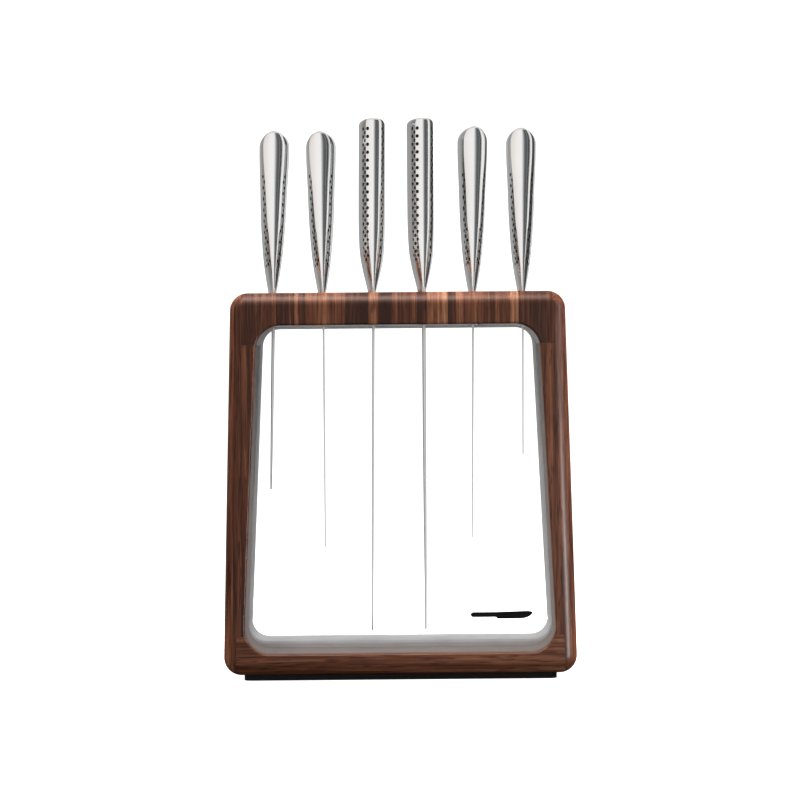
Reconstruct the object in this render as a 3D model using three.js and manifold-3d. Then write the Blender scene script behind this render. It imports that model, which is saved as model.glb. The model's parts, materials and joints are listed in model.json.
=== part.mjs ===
// A standing knife block with six knives. A walnut frame of two rails and two legs holds a clear
// window in front and one behind, and the knives hang between them from slots in the top rail.
// Millimetres, +Z up. The origin is on the table, under the middle of the block. The front faces -Y.
import * as THREE from 'three';
import { mergeVertices } from 'three/addons/utils/BufferGeometryUtils.js';
import Module from 'manifold-3d';

const wasm = await Module();
wasm.setup();

// Clearances
const GAP = 0.3; // between any two pieces that touch

// Wooden frame
const BLOCK_DEPTH = 110;
const FOOT_HEIGHT = 3; // how far the foot strips lift the wood off the table
const OUTSIDE = { low: FOOT_HEIGHT, high: 260, halfLow: 118.9, halfHigh: 112.2, corner: 12 };
const OPENING = { low: 18, high: 238, halfLow: 104.9, halfHigh: 94.7, corner: 17 };
const EDGE_ROUND = 9; // radius along the front and rear outer edges
const LIP_DEPTH = 8; // wood that overlaps each window
const REBATE = 3; // how far the space behind the lips is cut into the wood
const SIDE_STRIP = 8.5; // outer part of each leg that runs past the ends of the rails
const UPPER_SEAM = 225; // height where the legs meet the top rail
const LOWER_SEAM = 30; // height where the legs meet the bottom rail

// Dowels across the corner joints
const DOWEL = { radius: 2.5, length: 16, inset: 4.3, offset: 20, heightLow: 10.5, heightHigh: 250 };

// Windows and the lining ring between them
const WINDOW_THICKNESS = 3;
const LINING_INSET = { front: 0.2, rear: -0.5 }; // how far each lining stays behind the opening's edge
const LINING_SPLIT = -3; // where the front and rear lining meet
const REAR_FLOOR = 3.6; // how much thicker the rear lining is along its floor
const REAR_OPENING = { ...OPENING, corner: 12.5 }; // the corners are tighter in the rear half

// Foot strips
const FOOT = { length: 210, width: 14, middle: 41, groove: 1, corner: 5 };

// Slots
const SLOT = { width: 5.4, front: -25.5, rear: 27.5 };
const SLOT_PITCH = 34.25;
const SLOT_SHIFT = 0.5; // how far the row of slots sits to the right of the middle

// Knives, left to right. Rise is the handle above the block, reach the blade below its top, depth
// the blade from spine to edge. Lean and yaw are how the knife has settled in its slot, and turn is
// how far the handle is turned from the blade, at the neck and at the butt, all in degrees.
const BLADE_FRONT = -17; // spine line, from the axis that a knife turns about
const KNIFE_AXIS_Y = -5;
const NECK_DEPTH = 21;
const HEEL = 11; // drop from the handle to the heel
const EDGE_THICKNESS = 0.3;
const TOOTH = { length: 6, depth: 1.2 }; // one scallop of the bread knife's edge
const TANG = { front: -13.5, rear: -1, top: 30 };
const TURN_DEPTH = 15; // from the spine line to the line that a handle is turned about
const KNIVES = [
    {
        name: 'small_cooks_knife', handle: 'round', turn: [2.6, -3.4],
        rise: 111.3, reach: 133, depth: 33, spine: 2.2, lean: 1.3, yaw: 4.2,
    },
    {
        name: 'utility_knife', handle: 'round', turn: [3, -3.3],
        rise: 110.9, reach: 172.7, depth: 28, spine: 1.4, lean: 0, yaw: 1.6,
    },
    {
        name: 'bread_knife', handle: 'square', turn: [3.3, 3],
        rise: 119.3, reach: 231.2, depth: 31, spine: 1.6, lean: 0.65, yaw: 1.7,
    },
    {
        name: 'cooks_knife', handle: 'square', turn: [3.7, 6.5],
        rise: 119.3, reach: 229.8, depth: 38, spine: 2.3, lean: 0.08, yaw: 1.4,
    },
    {
        name: 'vegetable_knife', handle: 'round', turn: [2.3, 5.3],
        rise: 113.4, reach: 167.2, depth: 34, spine: 1.4, lean: 0.72, yaw: -1,
    },
    {
        name: 'paring_knife', handle: 'round', turn: [3.9, 1.1],
        rise: 112.2, reach: 110.8, depth: 23, spine: 1.4, lean: 0.38, yaw: -3,
    },
];

// Handle sections, from the block upwards: height, half width of the spine face, half width of the
// handle and depth from the spine line. Butt is the radius that closes the top end: seen from the
// front (across), and at the front and rear edge seen from the side.
const HANDLES = {
    round: {
        butt: { across: 10, front: 2, rear: 11 },
        stations: [
            { height: GAP, face: 0.6, half: 2.5, depth: 22 },
            { height: 5, face: 0.7, half: 3.5, depth: 22 },
            { height: 16, face: 1.4, half: 5.35, depth: 23 },
            { height: 28, face: 2.6, half: 6.85, depth: 24.5 },
            { height: 49, face: 4.4, half: 8.4, depth: 26.5 },
            { height: 72, face: 5.7, half: 9.3, depth: 27 },
            { height: 100, face: 7.3, half: 10.3, depth: 27 },
        ],
    },
    square: {
        butt: { across: 4, front: 1.5, rear: 7 },
        stations: [
            { height: GAP, face: 0.6, half: 2.5, depth: 22 },
            { height: 5, face: 0.75, half: 3.6, depth: 22 },
            { height: 16, face: 1.75, half: 6.25, depth: 23.5 },
            { height: 28, face: 2.9, half: 8.25, depth: 25.5 },
            { height: 44, face: 4.25, half: 9, depth: 27.5 },
            { height: 60, face: 4.7, half: 9.15, depth: 28 },
            { height: 112, face: 5.4, half: 9.15, depth: 28 },
        ],
    },
};
const HANDLE_WALL = 1.2;
const HOLLOW_START = 16; // height where the neck opens into the hollow handle
const WIDEST = 0.64; // share of a section's depth where it is widest
const FACE_SAG = 0.35; // how far the spine face curves back, as a share of its half width
const KNEE = { across: 0.57, back: 0.3 }; // where a flank bends, as shares of its width and depth
const DOME_STEPS = [0, 0.4, 0.7, 0.88, 0.97, 1]; // rings of the butt, crowded towards its end

// Colours and finishes
const walnut = { color: 0x4a2f22, roughness: 0.5, metalness: 0 };
const beech = { color: 0xc9a778, roughness: 0.7, metalness: 0 };
const clear = { color: 0xf2f5f5, roughness: 0.05, metalness: 0, transparent: true, opacity: 0.25 };
const taupe = { color: 0x7d746f, roughness: 0.6, metalness: 0 };
const paleGrey = { color: 0xb4b4b4, roughness: 0.5, metalness: 0 };
const blackRubber = { color: 0x0c0c0c, roughness: 0.8, metalness: 0 };
const brushedSteel = { color: 0xb9bbbd, roughness: 0.3, metalness: 1 };
const bladeSteel = { color: 0xaeb0b3, roughness: 0.2, metalness: 1 };
const sand = { color: 0xb8a98a, roughness: 0.95, metalness: 0 };

const block = new THREE.Group();

function addPiece(group, name, geometry, finish) {
    const mesh = new THREE.Mesh(geometry, new THREE.MeshStandardMaterial(finish));
    mesh.name = name;
    group.add(mesh);
}

// ---- Solids ----

function solidOf(geometry) {
    const bare = geometry.index ? geometry.toNonIndexed() : geometry.clone();
    bare.deleteAttribute('normal');
    bare.deleteAttribute('uv');
    const merged = mergeVertices(bare, 1e-4);
    return new wasm.Manifold(new wasm.Mesh({
        numProp: 3,
        vertProperties: new Float32Array(merged.attributes.position.array),
        triVerts: new Uint32Array(merged.index.array),
    }));
}

function geometryOf(solid) {
    const { vertProperties, triVerts } = solid.getMesh();
    const geometry = new THREE.BufferGeometry();
    geometry.setAttribute('position', new THREE.BufferAttribute(vertProperties, 3));
    geometry.setIndex(new THREE.BufferAttribute(triVerts, 1));
    return geometry;
}

function subtractAll(solid, cutters) {
    return cutters.reduce((rest, cutter) => rest.subtract(cutter), solid);
}

function boxSolid(low, high) {
    const size = high.map((value, axis) => value - low[axis]);
    const middle = high.map((value, axis) => (value + low[axis]) / 2);
    return solidOf(new THREE.BoxGeometry(...size).translate(...middle));
}

// A flat outline in X and Z, carried along Y from one place to another.
function prismAlongY(points, from, to) {
    const shape = new THREE.Shape(points);
    const geometry = new THREE.ExtrudeGeometry(shape, { depth: to - from, bevelEnabled: false });
    return solidOf(geometry.rotateX(Math.PI / 2).translate(0, to, 0));
}

// A closed skin over rings of points that all have the same number of points.
function loftGeometry(rings) {
    const count = rings[0].length;
    const triangles = [];
    for (let ring = 1; ring < rings.length; ring += 1) {
        for (let i = 0; i < count; i += 1) {
            const next = (i + 1) % count;
            const below = (ring - 1) * count;
            const above = ring * count;
            triangles.push(below + i, below + next, above + next);
            triangles.push(below + i, above + next, above + i);
        }
    }
    const last = (rings.length - 1) * count;
    for (let i = 1; i < count - 1; i += 1) {
        triangles.push(0, i + 1, i);
        triangles.push(last, last + i, last + i + 1);
    }
    const geometry = new THREE.BufferGeometry().setFromPoints(rings.flat());
    geometry.setIndex(triangles);
    return geometry;
}

// ---- Outlines ----

// A polygon, counterclockwise, with every corner rounded by an arc.
function roundedPolygon(corners, radius, steps) {
    return corners.flatMap((corner, index) => {
        const before = corners[(index + corners.length - 1) % corners.length].clone().sub(corner).normalize();
        const after = corners[(index + 1) % corners.length].clone().sub(corner).normalize();
        const halfAngle = Math.acos(before.dot(after)) / 2;
        const inward = before.clone().add(after).normalize();
        const centre = corner.clone().addScaledVector(inward, radius / Math.sin(halfAngle));
        const turn = Math.PI - 2 * halfAngle;
        const middle = Math.atan2(-inward.y, -inward.x);
        return Array.from({ length: steps + 1 }, (_, step) => {
            const angle = middle + turn * (step / steps - 0.5);
            return new THREE.Vector2(
                centre.x + radius * Math.cos(angle),
                centre.y + radius * Math.sin(angle),
            );
        });
    });
}

function halfWidthAt(form, height) {
    const slope = (form.halfHigh - form.halfLow) / (form.high - form.low);
    return form.halfLow + slope * (height - form.low);
}

// The outline of a tapered form, moved outwards by grow.
function taperedOutline(form, grow = 0, steps = 8) {
    const low = form.low - grow;
    const high = form.high + grow;
    const corners = [
        new THREE.Vector2(-halfWidthAt(form, low) - grow, low),
        new THREE.Vector2(halfWidthAt(form, low) + grow, low),
        new THREE.Vector2(halfWidthAt(form, high) + grow, high),
        new THREE.Vector2(-halfWidthAt(form, high) - grow, high),
    ];
    return roundedPolygon(corners, form.corner + grow, steps);
}

// ---- Wooden frame ----

const inside = BLOCK_DEPTH / 2 - LIP_DEPTH; // from the middle to the back of a lip

function frameSolid() {
    const straight = BLOCK_DEPTH - 2 * EDGE_ROUND;
    const body = new THREE.ExtrudeGeometry(new THREE.Shape(taperedOutline(OUTSIDE)), {
        depth: straight,
        bevelThickness: EDGE_ROUND,
        bevelSize: EDGE_ROUND,
        bevelOffset: -EDGE_ROUND,
        bevelSegments: 5,
    });
    return subtractAll(solidOf(body.rotateX(Math.PI / 2).translate(0, straight / 2, 0)), [
        prismAlongY(taperedOutline(OPENING), -BLOCK_DEPTH, BLOCK_DEPTH),
        prismAlongY(taperedOutline(REAR_OPENING), 0, BLOCK_DEPTH),
        prismAlongY(taperedOutline(OPENING, REBATE), -inside, inside),
        ...slotCutters(SLOT.width),
        ...footGrooves(),
        ...dowelPlaces().map((place) => dowelSolid(place, GAP)),
    ]);
}

function slotCutters(width) {
    return KNIVES.map((knife, index) => {
        const x = slotX(index);
        const low = [x - width / 2, SLOT.front, OPENING.high - REBATE];
        const high = [x + width / 2, SLOT.rear, OUTSIDE.high + REBATE];
        return boxSolid(low, high);
    });
}

function slotX(index) {
    return SLOT_SHIFT + (index - (KNIVES.length - 1) / 2) * SLOT_PITCH;
}

// Where a rail ends: inside the side strips of both legs, above or below a seam. Shift moves the
// outline inwards, for the rail itself, or outwards, for the space that the legs leave.
function railRegion(seam, end, shift) {
    const sign = Math.sign(end - seam);
    const start = seam + sign * shift;
    const halfAt = (height) => halfWidthAt(OUTSIDE, height) - SIDE_STRIP - shift;
    const corners = [
        new THREE.Vector2(-halfAt(start), start),
        new THREE.Vector2(halfAt(start), start),
        new THREE.Vector2(halfAt(end), end),
        new THREE.Vector2(-halfAt(end), end),
    ];
    return prismAlongY(sign > 0 ? corners : corners.reverse(), -BLOCK_DEPTH, BLOCK_DEPTH);
}

function addFrame() {
    const frame = frameSolid();
    const above = OUTSIDE.high + BLOCK_DEPTH;
    const below = -BLOCK_DEPTH;
    const topRail = frame.intersect(railRegion(UPPER_SEAM, above, GAP / 2));
    const bottomRail = frame.intersect(railRegion(LOWER_SEAM, below, GAP / 2));
    const legs = subtractAll(frame, [
        railRegion(UPPER_SEAM, above, -GAP / 2),
        railRegion(LOWER_SEAM, below, -GAP / 2),
    ]);
    const width = 2 * OUTSIDE.halfLow;
    const leftHalf = boxSolid([-width, -BLOCK_DEPTH, below], [0, BLOCK_DEPTH, above]);
    const rightHalf = boxSolid([0, -BLOCK_DEPTH, below], [width, BLOCK_DEPTH, above]);
    addPiece(block, 'top_rail', geometryOf(topRail), walnut);
    addPiece(block, 'bottom_rail', geometryOf(bottomRail), walnut);
    addPiece(block, 'left_leg', geometryOf(legs.intersect(leftHalf)), walnut);
    addPiece(block, 'right_leg', geometryOf(legs.intersect(rightHalf)), walnut);
}

// ---- Dowels ----

function dowelPlaces() {
    const places = [];
    for (const [level, height] of [['lower', DOWEL.heightLow], ['upper', DOWEL.heightHigh]]) {
        for (const [side, sign] of [['left', -1], ['right', 1]]) {
            for (const [row, y] of [['front', -DOWEL.offset], ['rear', DOWEL.offset]]) {
                const outer = halfWidthAt(OUTSIDE, height) - DOWEL.inset;
                const x = sign * (outer - DOWEL.length / 2);
                places.push({ name: `${level}_${side}_${row}_dowel`, x, y, height });
            }
        }
    }
    return places;
}

function dowelSolid(place, clearance) {
    const length = DOWEL.length + 2 * clearance;
    const rod = new THREE.CylinderGeometry(DOWEL.radius + clearance, DOWEL.radius + clearance, length, 12);
    return solidOf(rod.rotateZ(Math.PI / 2).translate(place.x, place.y, place.height));
}

function addDowels() {
    for (const place of dowelPlaces()) {
        addPiece(block, place.name, geometryOf(dowelSolid(place, 0)), beech);
    }
}

// ---- Windows and lining ----

function addWindows() {
    const outline = taperedOutline(OPENING, REBATE - GAP);
    const outer = inside - GAP;
    const inner = outer - WINDOW_THICKNESS;
    addPiece(block, 'front_window', geometryOf(prismAlongY(outline, -outer, -inner)), clear);
    addPiece(block, 'rear_window', geometryOf(prismAlongY(outline, inner, outer)), clear);
}

// A ring round the inside of the frame. Floor is how much thicker it is at the bottom.
function liningRing(from, to, opening, inset) {
    const outer = prismAlongY(taperedOutline(OPENING, REBATE - GAP), from, to);
    const hollow = prismAlongY(taperedOutline(opening, inset), from - 1, to + 1);
    return subtractAll(outer, [hollow, ...slotCutters(SLOT.width + GAP)]);
}

function addLining() {
    const end = inside - WINDOW_THICKNESS - 2 * GAP;
    const reach = 2 * OUTSIDE.high;
    const upper = boxSolid([-reach, -reach, UPPER_SEAM + GAP / 2], [reach, reach, reach]);
    const lower = boxSolid([-reach, -reach, 0], [reach, reach, UPPER_SEAM - GAP / 2]);
    const front = liningRing(-end, LINING_SPLIT - GAP / 2, OPENING, LINING_INSET.front);
    const raised = { ...REAR_OPENING, low: REAR_OPENING.low + REAR_FLOOR };
    const rear = liningRing(LINING_SPLIT + GAP / 2, end, raised, LINING_INSET.rear);
    addPiece(block, 'front_lining', geometryOf(front.intersect(lower)), taupe);
    addPiece(block, 'ceiling_lining', geometryOf(front.intersect(upper)), paleGrey);
    addPiece(block, 'rear_lining', geometryOf(rear), paleGrey);
}

// ---- Foot strips ----

// A strip with rounded corners, lying along X, between two heights.
function stripSolid(middle, grow, low, high) {
    const halfLength = FOOT.length / 2 + grow;
    const halfWidth = FOOT.width / 2 + grow;
    const corners = [[-1, -1], [1, -1], [1, 1], [-1, 1]].map(
        ([x, y]) => new THREE.Vector2(x * halfLength, middle + y * halfWidth),
    );
    const shape = new THREE.Shape(roundedPolygon(corners, FOOT.corner, 4));
    const geometry = new THREE.ExtrudeGeometry(shape, { depth: high - low, bevelEnabled: false });
    return solidOf(geometry.translate(0, 0, low));
}

function footGrooves() {
    const top = FOOT_HEIGHT + FOOT.groove;
    return [-FOOT.middle, FOOT.middle].map((middle) => stripSolid(middle, GAP, 0, top));
}

function addFeet() {
    const top = FOOT_HEIGHT + FOOT.groove - GAP;
    addPiece(block, 'front_foot_strip', geometryOf(stripSolid(-FOOT.middle, 0, 0, top)), blackRubber);
    addPiece(block, 'rear_foot_strip', geometryOf(stripSolid(FOOT.middle, 0, 0, top)), blackRubber);
}

// ---- Handles ----

// The sizes of a handle's section at a height. It has a rounded spine face in front, flanks with a
// knee in them and a round belly.
function sectionSize(stations, height) {
    const upper = stations.findIndex((station) => station.height >= height);
    if (upper === -1) return stations[stations.length - 1];
    if (upper === 0) return stations[0];
    const low = stations[upper - 1];
    const high = stations[upper];
    const share = (height - low.height) / (high.height - low.height);
    return {
        face: THREE.MathUtils.lerp(low.face, high.face, share),
        half: THREE.MathUtils.lerp(low.half, high.half, share),
        depth: THREE.MathUtils.lerp(low.depth, high.depth, share),
    };
}

// How far a rounded end has drawn a section in, at a distance below the top.
function endInset(radius, below) {
    if (below >= radius) return 0;
    return radius - Math.sqrt(radius ** 2 - (radius - below) ** 2);
}

function sectionRing(knife, height, below, wall) {
    const { butt, stations } = HANDLES[knife.handle];
    const size = sectionSize(stations, height);
    const closing = 1 - endInset(butt.across, below) / size.half;
    const face = Math.max(size.face * closing - wall, 0.2);
    const half = Math.max(size.half * closing - wall, 0.3);
    const front = wall + endInset(butt.front, below);
    const rear = size.depth - wall - endInset(butt.rear, below);
    const widest = front + WIDEST * (rear - front);
    const corner = front + FACE_SAG * face;
    const kneeX = face + KNEE.across * (half - face);
    const kneeY = corner + KNEE.back * (widest - corner);
    const ring = [new THREE.Vector2(-kneeX, kneeY)];
    for (const share of [-1, -0.5, 0, 0.5, 1]) {
        ring.push(new THREE.Vector2(share * face, front + FACE_SAG * face * share ** 2));
    }
    ring.push(new THREE.Vector2(kneeX, kneeY));
    for (let step = 0; step <= 8; step += 1) {
        const angle = (step / 8) * Math.PI;
        ring.push(new THREE.Vector2(half * Math.cos(angle), widest + (rear - widest) * Math.sin(angle)));
    }
    return ring.map((point) => turnedPoint(knife, point, height));
}

// A point of a section, X to the right and Y back from the spine line, turned with its handle.
function turnedPoint(knife, point, height) {
    const [neck, butt] = knife.turn.map(THREE.MathUtils.degToRad);
    const angle = THREE.MathUtils.lerp(neck, butt, height / knife.rise);
    const x = point.x - TURN_DEPTH * Math.sin(neck);
    const pivot = new THREE.Vector2(-TURN_DEPTH * Math.sin(neck), TURN_DEPTH);
    const turned = new THREE.Vector2(x, point.y).rotateAround(pivot, angle);
    return new THREE.Vector3(turned.x, BLADE_FRONT + turned.y, height);
}

// The handle's outer form when wall is 0, and its hollow when wall is the thickness of the steel.
function handleSolid(knife, wall, start) {
    const { butt, stations } = HANDLES[knife.handle];
    const top = knife.rise - wall;
    const straightTop = top - butt.rear;
    const heights = stations.map((station) => station.height)
        .filter((height) => height > start && height < straightTop);
    const domeHeights = DOME_STEPS.map((share) => straightTop + share * butt.rear);
    const rings = [start, ...heights, ...domeHeights]
        .map((height) => sectionRing(knife, height, top - height, wall));
    return solidOf(loftGeometry(rings));
}

function tangSpace(knife) {
    const half = knife.spine / 2 + GAP;
    return boxSolid(
        [-half, TANG.front - GAP, -1],
        [half, TANG.rear + GAP, TANG.top + GAP],
    );
}

function addHandle(group, knife) {
    const outer = handleSolid(knife, 0, GAP);
    const hollow = handleSolid(knife, HANDLE_WALL, HOLLOW_START);
    const shell = subtractAll(outer, [hollow, tangSpace(knife)]);
    const reach = knife.rise + 1;
    const leftHalf = boxSolid([-reach, -reach, -1], [-GAP / 2, reach, reach]);
    const rightHalf = boxSolid([GAP / 2, -reach, -1], [reach, reach, reach]);
    addPiece(group, `${knife.name}_left_shell`, geometryOf(shell.intersect(leftHalf)), brushedSteel);
    addPiece(group, `${knife.name}_right_shell`, geometryOf(shell.intersect(rightHalf)), brushedSteel);
    const fill = handleSolid(knife, HANDLE_WALL + GAP, TANG.top + 2 * GAP);
    addPiece(group, `${knife.name}_sand_fill`, geometryOf(fill), sand);
}

// ---- Blades ----

// The blade seen from its side: X is the distance from the spine line, Y the height. It starts at
// the top of the tang and runs down the spine, round the tip and up the edge to the heel.
function bladeOutline(knife) {
    const { depth, reach } = knife;
    const tangFront = TANG.front - BLADE_FRONT;
    const tangRear = TANG.rear - BLADE_FRONT;
    const outline = new THREE.Path();
    outline.moveTo(tangFront, TANG.top);
    outline.lineTo(tangFront, 0);
    outline.lineTo(0, 0);
    if (knife.name === 'bread_knife') {
        const firstTooth = 0.25 * depth - reach;
        outline.lineTo(0, 0.6 * depth - reach);
        outline.quadraticCurveTo(0, -reach, 0.6 * depth, -reach);
        outline.lineTo(depth - TOOTH.depth, firstTooth);
        for (let low = firstTooth; low < -HEEL - 2 * TOOTH.length; low += TOOTH.length) {
            outline.lineTo(depth, low + 0.25 * TOOTH.length);
            outline.lineTo(depth - TOOTH.depth, low + 0.65 * TOOTH.length);
        }
    } else {
        outline.lineTo(0, -reach * 0.62);
        outline.quadraticCurveTo(0.02 * depth, -reach * 0.85, 0.22 * depth, -reach);
        outline.quadraticCurveTo(0.95 * depth, -reach * 0.8, depth, -reach * 0.42);
    }
    outline.lineTo(depth, -HEEL);
    outline.quadraticCurveTo(depth - 2, -HEEL + 1, NECK_DEPTH + 1, -HEEL + 2);
    outline.lineTo(NECK_DEPTH, 0);
    outline.lineTo(tangRear, 0);
    outline.lineTo(tangRear, TANG.top);
    return outline.getPoints(6);
}

// A plate that is thickest along the spine and thins to the edge.
function addBlade(group, knife) {
    const points = bladeOutline(knife);
    const positions = [];
    for (const side of [-1, 1]) {
        for (const point of points) {
            const fullThickness = point.y > -HEEL + 3 || point.x <= 0;
            const share = fullThickness ? 0 : Math.min(point.x / knife.depth, 1);
            const half = THREE.MathUtils.lerp(knife.spine, EDGE_THICKNESS, share) / 2;
            positions.push(new THREE.Vector3(side * half, BLADE_FRONT + point.x, point.y));
        }
    }
    const count = points.length;
    const triangles = [];
    for (const [a, b, c] of THREE.ShapeUtils.triangulateShape(points, [])) {
        triangles.push(c, b, a);
        triangles.push(a + count, b + count, c + count);
    }
    for (let i = 0; i < count; i += 1) {
        const next = (i + 1) % count;
        triangles.push(i, next, next + count);
        triangles.push(i, next + count, i + count);
    }
    const geometry = new THREE.BufferGeometry().setFromPoints(positions);
    geometry.setIndex(triangles);
    addPiece(group, `${knife.name}_blade`, geometryOf(solidOf(geometry)), bladeSteel);
}

function addKnives() {
    KNIVES.forEach((knife, index) => {
        const group = new THREE.Group();
        group.position.set(slotX(index), KNIFE_AXIS_Y, OUTSIDE.high);
        group.rotation.set(0, THREE.MathUtils.degToRad(knife.lean), THREE.MathUtils.degToRad(knife.yaw));
        addBlade(group, knife);
        addHandle(group, knife);
        block.add(group);
    });
}

addFrame();
addDowels();
addWindows();
addLining();
addFeet();
addKnives();

export default block;
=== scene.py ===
"""A walnut knife block with six steel knives, dressed for a product picture.

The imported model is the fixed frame. This script gives the wooden frame its fine edges and grain,
the knives their smooth dimpled handles and ground blades, and puts a pale studio round them.
Shapes are worked out in millimetres, in the frame's own axes, and become metres as they are built.
"""

import json
import math

import bpy
from mathutils import Matrix, Vector

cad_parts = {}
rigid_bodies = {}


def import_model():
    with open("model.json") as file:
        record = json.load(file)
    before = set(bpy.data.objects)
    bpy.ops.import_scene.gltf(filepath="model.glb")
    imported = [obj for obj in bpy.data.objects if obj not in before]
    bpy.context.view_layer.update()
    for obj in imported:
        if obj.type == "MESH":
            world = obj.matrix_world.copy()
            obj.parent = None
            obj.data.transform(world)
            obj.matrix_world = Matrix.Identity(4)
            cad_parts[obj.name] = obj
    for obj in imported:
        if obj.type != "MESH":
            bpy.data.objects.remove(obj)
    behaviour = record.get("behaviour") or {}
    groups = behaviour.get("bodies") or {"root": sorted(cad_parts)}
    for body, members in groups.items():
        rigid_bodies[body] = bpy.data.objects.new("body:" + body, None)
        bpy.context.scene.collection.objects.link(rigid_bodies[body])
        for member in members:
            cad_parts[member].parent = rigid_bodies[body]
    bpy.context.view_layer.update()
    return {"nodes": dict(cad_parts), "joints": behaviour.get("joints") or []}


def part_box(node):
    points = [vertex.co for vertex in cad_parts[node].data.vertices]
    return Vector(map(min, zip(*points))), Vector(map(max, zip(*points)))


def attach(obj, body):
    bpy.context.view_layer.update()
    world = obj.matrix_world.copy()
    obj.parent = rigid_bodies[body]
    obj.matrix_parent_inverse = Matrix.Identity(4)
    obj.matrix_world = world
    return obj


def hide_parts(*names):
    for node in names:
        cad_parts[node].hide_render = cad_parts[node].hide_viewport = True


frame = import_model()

MM = 0.001


def box_mm(node):
    """The lowest and highest corner of a CAD node, in millimetres."""
    low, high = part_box(node)
    return low / MM, high / MM


# ---- Driving dimensions, in millimetres ----

BLOCK_LOW = box_mm("left_leg")[0]
BLOCK_HIGH = box_mm("top_rail")[1]
HALF_DEPTH = BLOCK_HIGH.y  # the block is as deep in front of its middle as behind it
BLOCK_TOP = BLOCK_HIGH.z

OUTSIDE = {"low": BLOCK_LOW.z, "high": BLOCK_TOP, "half_low": 118.9, "half_high": 112.2, "corner": 12}
OPENING = {"low": 18, "high": 238, "half_low": 104.9, "half_high": 94.7, "corner": 17}
REAR_OPENING = dict(OPENING, corner=12.5)  # the corners are tighter in the rear half
EDGE_ROUND = 9  # radius of the outer edges
INNER_ROUND = 1.4  # radius of the edges round the opening
LIP_DEPTH = 8  # wood in front of each window
REBATE = 3  # step behind the lip
SIDE_STRIP = 8.5  # outer part of each leg, which runs past the ends of the rails
UPPER_SEAM = 225  # height of the joints between the legs and the top rail
LOWER_SEAM = 30  # height of the joints between the legs and the bottom rail
SEAM = 0.12  # width of a glued joint
DOWEL_PLAY = 0.15  # between a dowel and its hole
ROUNDING_STEPS = {"edge": 14, "inner": 5, "corner": 20}

# Cutters reach past the block: above and below it, and from its middle to either side
PAST_ENDS = 50
PAST_SIDES = 200

# Reach is how far the cutter of a slot goes on below the ceiling
SLOT = {"width": 5.4, "front": -25.5, "rear": 27.5, "chamfer": 0.5, "reach": 20}
SLOT_PITCH = 34.25
SLOT_SHIFT = 0.5  # how far the row of slots sits to the right of the middle

LINING_INSET = {"front": 0.2, "rear": -0.5}  # back from the opening's edge: the rear one stands proud
LINING_GAP = 0.3  # between a lining and the wood behind it
LINING_BEVEL = 0.3
STEP_BEVEL = 1.4  # bevel in front of the thicker floor of the rear lining
REAR_FLOOR = 3.6  # how much thicker the rear lining is along its floor
FOOT_BEVEL = 0.5

BLADE_FRONT = -17  # spine line of every knife, from the axis that the knife turns about
KNIFE_AXIS_Y = -5
TURN_DEPTH = 15  # from the spine line to the line that a handle is turned about
NECK_DEPTH = 21
NECK_DROP = 9  # how far the neck reaches down into its slot
HEEL = 11  # how far the heel of a blade is below the block's top
BUTT_INSET = 0.05  # keeps the domed butt just inside the box of its CAD node

# Depth is from the spine to the edge, and spine is the thickness there. Yaw is how a blade stands in
# its slot, and turn is how far its handle is turned from the blade, at the neck and at the butt, in
# degrees.
KNIVES = {
    "small_cooks_knife": {"handle": "round", "depth": 33, "spine": 2.2, "yaw": 4.2, "turn": (2.6, -3.4)},
    "utility_knife": {"handle": "round", "depth": 28, "spine": 1.4, "yaw": 1.6, "turn": (3, -3.3)},
    "bread_knife": {"handle": "square", "depth": 31, "spine": 1.6, "yaw": 1.7, "turn": (3.3, 3)},
    "cooks_knife": {"handle": "square", "depth": 38, "spine": 2.3, "yaw": 1.4, "turn": (3.7, 6.5)},
    "vegetable_knife": {"handle": "round", "depth": 34, "spine": 1.4, "yaw": -1, "turn": (2.3, 5.3)},
    "paring_knife": {"handle": "round", "depth": 23, "spine": 1.4, "yaw": -3, "turn": (3.9, 1.1)},
}

# Handle sections, from the blade upwards: height above the block, half width of the spine face,
# half width of the handle, depth from the spine line. Butt is the radius that closes the top end:
# seen from the front (across), and at the front and rear edge seen from the side. Columns of
# dimples, on either side, are: distance from the spine line along the skin, height of the first
# dimple and height where the column ends. Pitch is the way from one dimple to the next.
HANDLES = {
    "round": {
        "butt": {"across": 10, "front": 2, "rear": 11},
        "stations": [
            (-NECK_DROP, 0.5, 0.66, 21.4),
            (-4, 0.55, 1.2, 21.6),
            (0.3, 0.6, 2.5, 22),
            (5, 0.7, 3.5, 22),
            (16, 1.4, 5.35, 23),
            (28, 2.6, 6.85, 24.5),
            (49, 4.4, 8.4, 26.5),
            (72, 5.7, 9.3, 27),
            (100, 7.3, 10.3, 27),
        ],
        "pitch": 7.6,
        "left": [(7.7, 84, 19), (9.9, 80.2, 19), (5.5, 66, 19), (3.4, 38, 19)],
        "right": [(7.7, 84, 19), (9.9, 80.2, 19), (5.5, 66, 19), (3.4, 38, 19)],
    },
    "square": {
        "butt": {"across": 4, "front": 1.5, "rear": 7},
        "stations": [
            (-NECK_DROP, 0.5, 0.66, 21.4),
            (-4, 0.55, 1.2, 21.6),
            (0.3, 0.6, 2.5, 22),
            (5, 0.75, 3.6, 22),
            (16, 1.75, 6.25, 23.5),
            (28, 2.9, 8.25, 25.5),
            (44, 4.25, 9, 27.5),
            (60, 4.7, 9.15, 28),
            (112, 5.4, 9.15, 28),
        ],
        "pitch": 5.4,
        "left": [(4.5, 112.2, 24), (7.1, 109.5, 22), (9.7, 112.2, 22)],
        "right": [(6.7, 112.2, 24), (9.3, 109.5, 24)],
    },
}
WIDEST = 0.64  # share of a section's depth where the handle is widest
FACE_SAG = 0.35  # how far the spine face curves back, as a share of its half width
KNEE = {"across": 0.57, "back": 0.3}  # where a flank bends, as shares of its width and depth
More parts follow.
